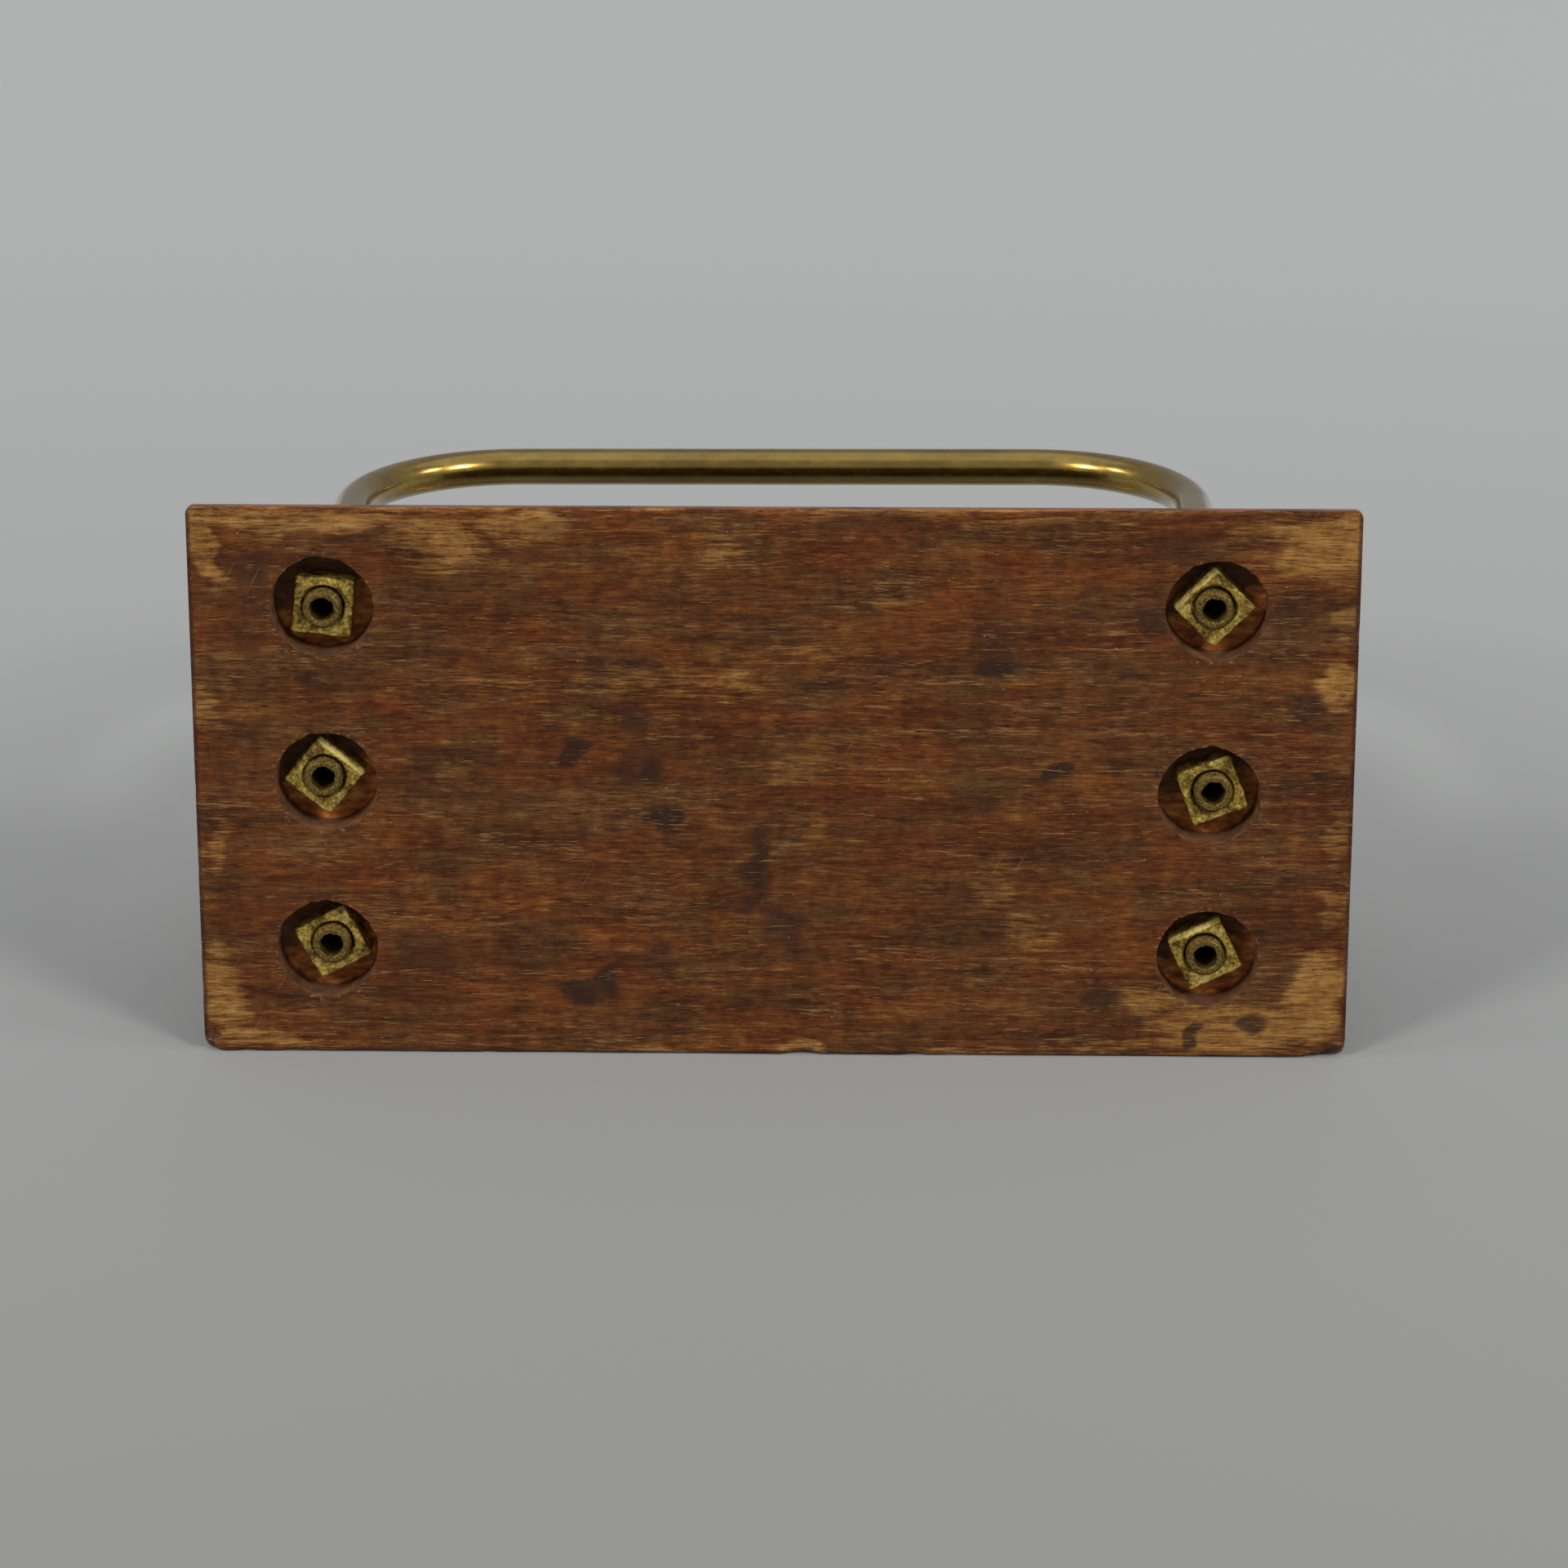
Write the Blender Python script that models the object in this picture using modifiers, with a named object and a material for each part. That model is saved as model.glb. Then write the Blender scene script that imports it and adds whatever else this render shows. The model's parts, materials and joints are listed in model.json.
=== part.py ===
"""A desk letter rack: a moulded hardwood base that carries three hoops of bent brass tube.

Each leg of a hoop goes down through the base. A square nut in a counterbore underneath draws the leg down
until a turned collar, fixed round it, bears on the base's top face.

The pieces are modelled as the rack stands on a desk: +Z up, the base's length along X, its underside at
Z = 0 and its front towards -Y. The empty RACK then lays it on the base's long back edge with the underside
towards -Y. It leans back as far as a real one does, until the back hoop touches the ground.
"""

import math

import bmesh
import bpy
from mathutils import Matrix, Vector

NAME = "letter_rack"

# Base: a board with a narrow square fillet at the underside and an ovolo moulding above it, all round
BASE_LENGTH = 0.186
BASE_DEPTH = 0.092
BASE_THICKNESS = 0.016
FILLET_HEIGHT = 0.002
FILLET_STEP = 0.002
OVOLO_WIDTH = 0.008
OVOLO_STEPS = 8
ARRIS_RADIUS = 0.0004
ARRIS_STEPS = 2
CORNER_RADIUS = 0.0013
CORNER_STEPS = 3

# Hoops: quarter-inch tube. The height is from the underside of the base to the middle of the crossbar.
TUBE_RADIUS = 0.003175
TUBE_WALL = 0.0012
HOOP_HEIGHT = 0.089
BEND_RADIUS = 0.027
BEND_STEPS = 9
TUBE_SIDES = 16
TUBE_SETBACK = 0.0007
HOOP_SHIFT = -0.00095

# Holes, drilled by hand, so no row is quite square to the base
HOLE_RADIUS = 0.0036
HOLE_SIDES = 24
COUNTERBORE_RADIUS = 0.0082
COUNTERBORE_DEPTH = 0.007
COUNTERBORE_SIDES = 48

# Square nuts, three eighths of an inch across the flats
NUT_WIDTH = 0.0095
NUT_THICKNESS = 0.0045
NUT_CORNER = 0.0004
THREAD_GAP = 0.0003

# Collars, turned from brass
COLLAR_RADIUS = 0.0053
COLLAR_NECK = 0.0043
COLLAR_FLANGE = 0.0014
COLLAR_HEIGHT = 0.005
COVE_STEPS = 5
TURNED_SIDES = 24

# Clearance of each seat, and how far a cutter runs past the face that it opens
SEAT_GAP = 0.0003
OVERSHOOT = 0.002

# Base colour, metallic and roughness of each material
MATERIALS = {
    "mahogany": ((0.17, 0.062, 0.028), 0.0, 0.5),
    "tube_brass": ((0.47, 0.36, 0.16), 1.0, 0.28),
    "nut_brass": ((0.42, 0.35, 0.14), 1.0, 0.5),
    "collar_brass": ((0.45, 0.34, 0.15), 1.0, 0.35),
}

# Each hoop: its name, where its row of holes crosses the base, the spacing of its legs, its skew in degrees
HOOPS = (
    ("front", -0.02915, 0.1419, -0.2),
    ("middle", 0.0003, 0.1431, 0.7),
    ("back", 0.02855, 0.1419, 0.5),
)

# Each leg: its hoop, its side, its nut's turn in degrees, and how far off its axis its counterbore is
LEGS = (
    ("front", "left", 6, (0.0001, -0.0006)),
    ("middle", "left", 39, (0.0007, 0.0003)),
    ("back", "left", -28, (-0.0006, 0.0004)),
    ("front", "right", 45, (0.0004, -0.0001)),
    ("middle", "right", -20, (-0.0007, 0.0002)),
    ("back", "right", -26, (0.0002, 0.0)),
)
SIDES = {"left": -1, "right": 1}


def clear_scene():
    for obj in list(bpy.data.objects):
        bpy.data.objects.remove(obj, do_unlink=True)


def new_collection(name):
    made = bpy.data.collections.new(name)
    bpy.context.scene.collection.children.link(made)
    return made


def new_material(name):
    colour, metallic, roughness = MATERIALS[name]
    made = bpy.data.materials.new(name)
    made.use_nodes = True
    shader = made.node_tree.nodes["Principled BSDF"]
    shader.inputs["Base Color"].default_value = (*colour, 1.0)
    shader.inputs["Metallic"].default_value = metallic
    shader.inputs["Roughness"].default_value = roughness
    made.diffuse_color = (*colour, 1.0)
    return made


def new_object(name, mesh, collection, parent, material=None):
    """An object in a collection and under a parent, with its one material if it has one."""
    made = bpy.data.objects.new(name, mesh)
    collection.objects.link(made)
    made.parent = parent
    if material:
        mesh.materials.append(material)
    return made


def mesh_from(bm, name):
    bmesh.ops.recalc_face_normals(bm, faces=bm.faces)
    mesh = bpy.data.meshes.new(name)
    bm.to_mesh(mesh)
    bm.free()
    return mesh


def shade(mesh, angle=35):
    mesh.shade_smooth()
    mesh.set_sharp_from_angle(angle=math.radians(angle))


def hoop_row(hoop):
    """Where a hoop stands on the base, the spacing of its legs and its skew in radians."""
    place, spacing, skew = next(row[1:] for row in HOOPS if row[0] == hoop)
    return Vector((HOOP_SHIFT, place, 0)), spacing, math.radians(skew)


def leg_place(hoop, side):
    """Where the axis of a leg meets the underside of the base."""
    centre, spacing, skew = hoop_row(hoop)
    reach = Vector((SIDES[side] * spacing / 2, 0, 0))
    return centre + Matrix.Rotation(skew, 3, "Z") @ reach


def base_profile():
    """(height, inset) up the moulded edge, from the underside to the top face."""
    points = []
    for step in range(ARRIS_STEPS + 1):
        turn = math.pi / 2 * step / ARRIS_STEPS
        points.append((ARRIS_RADIUS * (1 - math.cos(turn)), ARRIS_RADIUS * (1 - math.sin(turn))))
    points.append((FILLET_HEIGHT, 0))
    for step in range(OVOLO_STEPS + 1):
        turn = math.pi / 2 * step / OVOLO_STEPS
        height = FILLET_HEIGHT + (BASE_THICKNESS - FILLET_HEIGHT) * math.sin(turn)
        points.append((height, FILLET_STEP + OVOLO_WIDTH * (1 - math.cos(turn))))
    return points


def rounded_rectangle(inset):
    """The outline of the base, drawn in by an inset, anticlockwise from above."""
    reach_x = BASE_LENGTH / 2 - inset - CORNER_RADIUS
    reach_y = BASE_DEPTH / 2 - inset - CORNER_RADIUS
    points = []
    for quarter, (side_x, side_y) in enumerate(((1, 1), (-1, 1), (-1, -1), (1, -1))):
        for step in range(CORNER_STEPS + 1):
            turn = math.pi / 2 * (quarter + step / CORNER_STEPS)
            x = side_x * reach_x + CORNER_RADIUS * math.cos(turn)
            y = side_y * reach_y + CORNER_RADIUS * math.sin(turn)
            points.append((x, y))
    return points


def moulded_board():
    """A loft through one rounded rectangle for each point of the moulded edge."""
    bm = bmesh.new()
    rings = []
    for height, inset in base_profile():
        rings.append([bm.verts.new((x, y, height)) for x, y in rounded_rectangle(inset)])
    for low, high in zip(rings, rings[1:]):
        for i in range(len(low)):
            bm.faces.new((low[i - 1], low[i], high[i], high[i - 1]))
    bm.faces.new(rings[0])
    bm.faces.new(rings[-1])
    return mesh_from(bm, "base")


def new_cutter(name, radius, sides, low, high, place, collection, parent):
    """An upright cylinder that cuts the base."""
    bm = bmesh.new()
    bmesh.ops.create_cone(
        bm, cap_ends=True, segments=sides, radius1=radius, radius2=radius, depth=high - low
    )
    cutter = new_object(name, mesh_from(bm, name), collection, parent)
    cutter.location = (place.x, place.y, (low + high) / 2)
    cutter.display_type = "WIRE"
    cutter.hide_render = True
    return cutter


def cut(target, cutter):
    modifier = target.modifiers.new(cutter.name, "BOOLEAN")
    modifier.operation = "DIFFERENCE"
    modifier.object = cutter
    modifier.solver = "EXACT"


def make_base(collection, cutters, rack, wood):
    """The board, with a hole for each leg and a counterbore round it from below."""
    base = new_object("base", moulded_board(), collection, rack, wood)
    shade(base.data)
    for hoop, side, _, drift in LEGS:
        place = leg_place(hoop, side)
        hole = new_cutter(
            f"{hoop}_{side}_hole",
            HOLE_RADIUS,
            HOLE_SIDES,
            COUNTERBORE_DEPTH - OVERSHOOT,
            BASE_THICKNESS + OVERSHOOT,
            place,
            cutters,
            rack,
        )
        counterbore = new_cutter(
            f"{hoop}_{side}_counterbore",
            COUNTERBORE_RADIUS,
            COUNTERBORE_SIDES,
            -OVERSHOOT,
            COUNTERBORE_DEPTH,
            place + Vector((*drift, 0)),
            cutters,
            rack,
        )
        cut(base, hole)
        cut(base, counterbore)


def hoop_path(spacing):
    """The middle line of a hoop in its own plane, from the foot of its left leg to that of its right."""
    half = spacing / 2
    centre = Vector((half - BEND_RADIUS, HOOP_HEIGHT - BEND_RADIUS))
    right = [(half, TUBE_SETBACK)]
    for step in range(BEND_STEPS + 1):
        turn = math.pi / 2 * step / BEND_STEPS
        right.append((centre.x + BEND_RADIUS * math.cos(turn), centre.y + BEND_RADIUS * math.sin(turn)))
    left = [(-x, z) for x, z in right]
    return left + right[::-1]


def tube_mesh(name, path):
    """A thin open tube along a path in the XZ plane."""
    curve = bpy.data.curves.new(name, "CURVE")
    curve.dimensions = "3D"
    curve.bevel_depth = TUBE_RADIUS
    curve.bevel_resolution = TUBE_SIDES // 2 - 2
    spline = curve.splines.new("POLY")
    spline.points.add(len(path) - 1)
    for point, (x, z) in zip(spline.points, path):
        point.co = (x, 0, z, 1)
    guide = bpy.data.objects.new(name + "_line", curve)
    bpy.context.scene.collection.objects.link(guide)
    seen = guide.evaluated_get(bpy.context.evaluated_depsgraph_get())
    mesh = bpy.data.meshes.new_from_object(seen)
    mesh.name = name
    bpy.data.objects.remove(guide)
    bpy.data.curves.remove(curve)
    return mesh


def make_hoop(hoop, collection, rack, brass):
    """One hoop, its open tube thickened inwards from its outer surface."""
    centre, spacing, skew = hoop_row(hoop)
    name = f"{hoop}_hoop"
    made = new_object(name, tube_mesh(name, hoop_path(spacing)), collection, rack, brass)
    made.location = centre
    made.rotation_euler.z = skew
    wall = made.modifiers.new("tube_wall", "SOLIDIFY")
    wall.thickness = TUBE_WALL
    wall.offset = -1
    shade(made.data)


def nut_mesh():
    """A square block with softened corners, its seat at Z = 0 and its face at -NUT_THICKNESS."""
    bm = bmesh.new()
    bmesh.ops.create_cube(bm, size=1)
    bmesh.ops.scale(bm, vec=(NUT_WIDTH, NUT_WIDTH, NUT_THICKNESS), verts=bm.verts)
    bmesh.ops.translate(bm, vec=(0, 0, -NUT_THICKNESS / 2), verts=bm.verts)
    bmesh.ops.bevel(
        bm,
        geom=list(bm.edges),
        offset=NUT_CORNER,
        segments=2,
        profile=0.5,
        affect="EDGES",
        clamp_overlap=True,
    )
    return mesh_from(bm, "square_nut")


def make_nut(hoop, side, turn, collection, cutters, rack, brass):
    """A nut at the bottom of its counterbore, bored for the thread of its leg."""
    place = leg_place(hoop, side)
    nut = new_object(f"{hoop}_{side}_nut", nut_mesh(), collection, rack, brass)
    nut.location = place + Vector((0, 0, COUNTERBORE_DEPTH - SEAT_GAP))
    nut.rotation_euler.z = math.radians(turn)
    thread = new_cutter(
        f"{hoop}_{side}_thread",
        TUBE_RADIUS + THREAD_GAP,
        HOLE_SIDES,
        -OVERSHOOT,
        COUNTERBORE_DEPTH + OVERSHOOT,
        place,
        cutters,
        rack,
    )
    cut(nut, thread)
    shade(nut.data)


def collar_mesh():
    """Half a collar's section, from the bore over its top, down its outer side and back along its seat."""
    bore = TUBE_RADIUS + THREAD_GAP
    points = [(bore, COLLAR_HEIGHT), (COLLAR_NECK, COLLAR_HEIGHT)]
    cove = COLLAR_RADIUS - COLLAR_NECK
    for step in range(COVE_STEPS + 1):
        turn = math.pi / 2 * step / COVE_STEPS
        radius = COLLAR_NECK + cove * (1 - math.cos(turn))
        height = COLLAR_FLANGE + 2 * cove * (1 - math.sin(turn))
        points.append((radius, height))
    points += [(COLLAR_RADIUS, 0), (bore, 0)]
    bm = bmesh.new()
    verts = [bm.verts.new((x, 0, z)) for x, z in points]
    for i in range(len(verts)):
        bm.edges.new((verts[i - 1], verts[i]))
    mesh = bpy.data.meshes.new("collar")
    bm.to_mesh(mesh)
    bm.free()
    return mesh


def make_collar(hoop, side, collection, rack, brass):
    """A collar round a leg, just off the top face of the base."""
    collar = new_object(f"{hoop}_{side}_collar", collar_mesh(), collection, rack, brass)
    collar.location = leg_place(hoop, side) + Vector((0, 0, BASE_THICKNESS + SEAT_GAP))
    screw = collar.modifiers.new("turned", "SCREW")
    screw.steps = TURNED_SIDES
    screw.render_steps = TURNED_SIDES
    screw.use_smooth_shade = True


def lean_angle():
    """How far the rack tips back over its long edge's square fillet before the back hoop's crossbar lands."""
    centre, spacing, skew = hoop_row("back")
    straight = spacing / 2 - BEND_RADIUS
    place = centre.y + straight * abs(math.sin(skew))
    drop = BASE_DEPTH / 2 - place
    reach = HOOP_HEIGHT - FILLET_HEIGHT
    return math.atan2(drop, reach) - math.asin(TUBE_RADIUS / math.hypot(drop, reach))


def bounds(collection):
    """The lowest and highest corner of the evaluated pieces."""
    seen = bpy.context.evaluated_depsgraph_get()
    corners = []
    for obj in collection.objects:
        if obj.type == "MESH":
            shown = obj.evaluated_get(seen)
            corners += [shown.matrix_world @ vert.co for vert in shown.data.vertices]
    low = Vector(min(corner[axis] for corner in corners) for axis in range(3))
    high = Vector(max(corner[axis] for corner in corners) for axis in range(3))
    return low, high


def lay_on_ground(rack, collection):
    """Leans the rack on its long edge and puts the origin under the middle of it, on the ground."""
    rack.rotation_euler.x = -(math.pi / 2 + lean_angle())
    bpy.context.view_layer.update()
    low, high = bounds(collection)
    rack.location -= Vector(((low.x + high.x) / 2, (low.y + high.y) / 2, low.z))
    bpy.context.view_layer.update()


def main():
    clear_scene()
    pieces = new_collection(NAME)
    cutters = new_collection("cutters")
    rack = bpy.data.objects.new("RACK", None)
    pieces.objects.link(rack)
    materials = {name: new_material(name) for name in MATERIALS}
    make_base(pieces, cutters, rack, materials["mahogany"])
    for hoop, *_ in HOOPS:
        make_hoop(hoop, pieces, rack, materials["tube_brass"])
    for hoop, side, turn, _ in LEGS:
        make_nut(hoop, side, turn, pieces, cutters, rack, materials["nut_brass"])
        make_collar(hoop, side, pieces, rack, materials["collar_brass"])
    lay_on_ground(rack, pieces)


main()
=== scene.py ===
"""A desk letter rack that stands on one long edge of its base, its worn underside towards the camera.

Each piece is modelled in millimetres in the rack's own frame: X along the base, Y across it towards the
edge it stands on, Z from the underside up through the board. place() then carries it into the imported
model's frame. Its rack coordinates stay on the mesh as an attribute, which its material reads.
"""

import json
import math

import bmesh
import bpy
import numpy as np
from mathutils import Matrix, Vector, noise


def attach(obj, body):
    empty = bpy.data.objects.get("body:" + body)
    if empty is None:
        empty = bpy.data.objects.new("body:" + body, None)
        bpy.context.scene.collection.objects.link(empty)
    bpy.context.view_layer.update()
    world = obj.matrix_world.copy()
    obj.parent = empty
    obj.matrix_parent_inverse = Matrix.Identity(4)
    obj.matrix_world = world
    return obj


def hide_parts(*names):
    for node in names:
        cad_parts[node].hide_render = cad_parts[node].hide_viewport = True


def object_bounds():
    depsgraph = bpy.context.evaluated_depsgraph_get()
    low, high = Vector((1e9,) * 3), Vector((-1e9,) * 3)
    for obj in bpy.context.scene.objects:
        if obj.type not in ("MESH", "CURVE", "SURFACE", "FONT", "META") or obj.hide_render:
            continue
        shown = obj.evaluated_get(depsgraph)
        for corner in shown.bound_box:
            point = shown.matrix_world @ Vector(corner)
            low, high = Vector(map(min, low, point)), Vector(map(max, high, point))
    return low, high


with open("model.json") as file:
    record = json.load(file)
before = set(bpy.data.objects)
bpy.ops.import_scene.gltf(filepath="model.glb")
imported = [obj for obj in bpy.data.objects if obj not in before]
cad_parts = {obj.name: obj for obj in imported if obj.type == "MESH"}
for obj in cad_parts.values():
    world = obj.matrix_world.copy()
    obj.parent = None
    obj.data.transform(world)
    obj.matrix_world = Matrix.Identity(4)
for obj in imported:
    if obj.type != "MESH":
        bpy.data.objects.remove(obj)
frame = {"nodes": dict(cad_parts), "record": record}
cad_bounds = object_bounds()

MM = 0.001
SEED = 11

# Base, in millimetres
CORNER_RADIUS = 1.3
ARRIS = 0.4
FILLET = 2.0
LEDGE = 2.0
LEDGE_LIP = 0.35
OVOLO_WIDTH = 8.0
OVOLO_STEPS = 20
EDGE_ZONE = 5.0
FINE_STEP = 0.36
COARSE_STEP = 1.15
EDGE_DENTS = 70
LONG_EDGE_SHARE = 0.66

# Holes and counterbores
HOLE_RADIUS = 3.6
COUNTERBORE_RADIUS = 8.2
COUNTERBORE_DEPTH = 7.0
CUTTER_SIDES = 144

# Tube, nuts and collars
TUBE_RADIUS = 3.175
BORE_RADIUS = 1.95
BEND_RADIUS = 27.0
TUBE_SIDES = 40
THREAD_PITCH = 0.79
THREAD_DEPTH = 0.42
THREAD_LENGTH = 12.5
THREAD_GAP = 0.28
NUT_WIDTH = 9.5
NUT_SIDES = 176
NUT_CORNER = 0.5
NUT_ARRIS = 0.24
NUT_BRUISES = 9
COLLAR_SIDES = 112

# How far a hoop's left bend was pulled outwards, and the heights over which its leg leans out
BEND_BULGE = {"front": 0.8}
BULGE_HEIGHTS = (18, 62)

# Each leg: the turn of its nut in degrees, and how far off its axis its counterbore and its nut are
LEGS = {
    ("front", "left"): (6, (0.1, -0.6), (0.10, -0.12)),
    ("middle", "left"): (39, (0.7, 0.3), (0.16, -0.08)),
    ("back", "left"): (-28, (-0.6, 0.4), (0.12, -0.10)),
    ("front", "right"): (45, (0.4, -0.1), (0.05, -0.16)),
    ("middle", "right"): (-20, (-0.7, 0.2), (-0.15, -0.05)),
    ("back", "right"): (-26, (0.2, 0.0), (-0.10, -0.13)),
}
ROWS = ("front", "middle", "back")

# Nuts with an edge filed away: the turn of that edge from the nut's own X axis
FILED_EDGES = {("middle", "left"): -90, ("front", "right"): 180, ("back", "right"): -90}
FILED_WIDTH = 1.0
FILED_SLOPE = 0.55

# Worn corners: which corner, and how far the wear reaches along X, along Y and up Z
CORNER_WEAR = (
    (-1, -1, 1.3, 1.0, 1.6),
    (1, -1, 1.0, 1.1, 1.6),
    (-1, 1, 3.4, 2.4, 3.0),
    (1, 1, 9.0, 2.1, 2.2),
    (1, 1, 1.3, 3.4, 2.6),
)

# Bruises in the underside's edges: centre and radii
EDGE_CHIPS = (
    ((4.6, 46.5, -0.4), (3.6, 1.7, 1.3)),
    ((-91.6, 43.6, -0.4), (1.5, 1.6, 1.1)),
    ((92.9, 30.0, -0.3), (0.8, 1.4, 0.8)),
    ((93.1, 8.0, -0.3), (0.7, 1.1, 0.8)),
    ((-93.0, -30.5, -0.3), (0.7, 1.5, 0.7)),
    ((-93.1, -3.0, -0.3), (0.8, 1.0, 0.7)),
)

# Patches of the underside, rubbed pale, warmer or stained dark: centre, half length, half width, strength
PALE_PATCHES = (
    (-52, -40, 9, 6, 0.9),
    (-39, -43, 8, 3.5, 1.0),
    (-75, -44, 20, 2.4, 0.8),
    (-8, -39, 4, 5, 0.55),
    (-90, -40, 3.4, 8, 1.25),
    (-91, -12, 2.4, 6, 0.7),
    (-90, 10, 2.4, 7, 0.6),
    (-90, 36, 4, 9, 0.9),
    (-83, 44, 9, 2.2, 0.8),
    (88, -40, 12, 6, 1.0),
    (89.5, -17, 4, 5, 1.2),
    (91, -30, 2.2, 7, 0.6),
    (90, 8, 3, 6, 0.6),
    (90, 20, 3, 5, 0.75),
    (88, 36, 5, 9, 1.25),
    (76, 41, 17, 5, 0.95),
    (75, -42, 6, 3, 0.6),
    (62, 37, 5, 3.5, 0.9),
    (-17, -17, 20, 4, 0.55),
    (-6, -17, 5, 4, 0.65),
    (-46, -18, 12, 3, 0.4),
    (6, -22, 7, 2, 0.45),
    (36, 17, 4, 6, 0.55),
    (42, 26, 4, 6, 0.55),
    (10, 12, 12, 6, 0.35),
    (22, 16, 7, 4, 0.35),
    (40, -44, 20, 1.6, 0.6),
    (-30, 20, 16, 2, 0.4),
    (4.5, 45, 4, 1.4, 1.0),
    (18, -30, 2.4, 2.6, 0.4),
    (55, 44, 12, 2, 0.5),
    (-40, 44, 20, 1.6, 0.4),
)
WARM_PATCHES = (
    (-60, -15, 6, 3.5, 0.9),
    (-64, 15, 10, 3, 0.8),
    (-24, 26, 6, 3.5, 0.9),
    (-34, 20, 12, 2.5, 0.6),
    (-18, -41, 8, 3, 0.7),
    (14, -38, 8, 3, 0.5),
    (30, -33, 8, 3, 0.5),
    (13, 37, 3, 2, 0.7),
    (-46, 34, 8, 3, 0.5),
    (30, -38, 12, 2, 0.5),
    (58, -10, 10, 4, 0.4),
    (20, -4, 16, 5, 0.35),
)
DARK_PATCHES = (
    (-32, -6, 3.6, 2.6, 1.0),
    (-21, -3, 5, 4, 0.6),
    (-18, 6, 3.0, 2.6, 1.0),
    (-8, -4, 6, 4, 0.4),
    (-3, 13, 2.6, 7, 0.8),
    (2, 24, 4, 5, 0.6),
    (-22, -11, 3, 4, 0.6),
    (-26, 33, 2.8, 4.0, 0.9),
    (-31, 36, 5, 2.4, 0.9),
    (-20, 28, 3, 2, 0.6),
    (36, -25, 5, 8, 0.5),
    (14, -43, 8, 2, 0.4),
    (-33, -43, 7, 1.8, 0.4),
    (45, -3, 3, 2.0, 1.0),
    (36, -20, 4, 2.2, 0.9),
    (53, 36, 4, 3, 0.6),
    (-57, 28, 6, 6, 0.5),
    (-83, -28, 5, 9, 0.5),
    (-88, -4, 3, 9, 0.4),
    (82, -28, 7, 5, 0.45),
    (84, -13, 4, 4, 0.6),
    (33, 2, 5, 4, 0.4),
    (30, -15, 7, 5, 0.4),
    (60, -28, 4, 4, 0.6),
    (-30, -14, 10, 3, 0.3),
    (-88, 22, 3, 6, 0.4),
    (66, -40, 12, 3, 0.5),
    (68, 42, 1.8, 2.4, 1.1),
    (78, 40.5, 2.4, 1.8, 0.9),
    (-83, -36, 5, 3, 0.6),
    (-62, -42, 6, 1.6, 0.5),
    (-4, 20, 3, 2.4, 0.7),
    (-19, -2, 2.4, 2.2, 0.9),
)


# ---------------------------------------------------------------- the rack's own frame

mount = next(m for m in frame["record"]["mounts"] if m["name"] == "underside")
UP = -Vector(mount["axis"])
ALONG = Vector((1, 0, 0))
ACROSS = UP.cross(ALONG)
TURN = Matrix((ALONG, ACROSS, UP)).transposed()
TO_WORLD = Matrix.Translation(Vector(mount["pos_m"])) @ TURN.to_4x4() @ Matrix.Diagonal((MM, MM, MM, 1))
TO_RACK = np.array(TO_WORLD.inverted())


def rack_box(node):
    """The lowest and highest corner of a CAD node in the rack's own frame."""
    mesh = frame["nodes"][node].data
    points = np.empty(len(mesh.vertices) * 3)
    mesh.vertices.foreach_get("co", points)
    points = points.reshape(-1, 3) @ TO_RACK[:3, :3].T + TO_RACK[:3, 3]
    return points.min(0), points.max(0)


def leg_axis(row, side):
    """Where the axis of a leg crosses the underside: the middle of its nut."""
    low, high = rack_box(f"{row}_{side}_nut")
    return (low[:2] + high[:2]) / 2


base_low, base_high = rack_box("base")
LENGTH, DEPTH, THICKNESS = base_high - base_low


# ---------------------------------------------------------------- mesh helpers


def ripple(points, size, seed):
    """Smooth noise, mostly between -0.6 and 0.6, in patches of about that size along X, Y and Z."""
    scaled = np.asarray(points) / np.asarray(size, float) + SEED + 7.31 * seed
    return np.array([noise.noise(point) for point in scaled.tolist()])


def new_mesh(name, verts, faces):
    mesh = bpy.data.meshes.new(name)
    mesh.from_pydata(np.asarray(verts).tolist(), [], np.asarray(faces).tolist())
    return mesh


def new_object(name, mesh):
    made = bpy.data.objects.new(name, mesh)
    bpy.context.scene.collection.objects.link(made)
    return made


def ring_faces(count, sides, closed):
    """Quads between each ring of vertices and the next, and from the last to the first if closed."""
    around = np.arange(sides)
    after = (around + 1) % sides
    faces = []
    for low in range(count if closed else count - 1):
        lower = low * sides
        upper = (low + 1) % count * sides
        faces.append(np.stack([lower + around, lower + after, upper + after, upper + around], 1))
    return np.concatenate(faces)


def ring_mesh(name, rings, closed):
    """A skin over an array of rings. It closes on itself, or else its first and last rings are points."""
    count, sides = rings.shape[:2]
    mesh = new_mesh(name, rings.reshape(-1, 3), ring_faces(count, sides, closed))
    bm = bmesh.new()
    bm.from_mesh(mesh)
    bmesh.ops.remove_doubles(bm, verts=bm.verts, dist=1e-6)
    bmesh.ops.recalc_face_normals(bm, faces=bm.faces)
    bm.to_mesh(mesh)
    bm.free()
    return mesh


def mesh_points(mesh):
    points = np.empty(len(mesh.vertices) * 3)
    mesh.vertices.foreach_get("co", points)
    return points.reshape(-1, 3)


def add_vector(mesh, name, values):
    layer = mesh.attributes.new(name, "FLOAT_VECTOR", "POINT")
    layer.data.foreach_set("vector", np.ascontiguousarray(values, np.float32).ravel())


def add_share(mesh, name, values):
    layer = mesh.attributes.new(name, "FLOAT", "POINT")
    layer.data.foreach_set("value", np.ascontiguousarray(values, np.float32))


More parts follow.
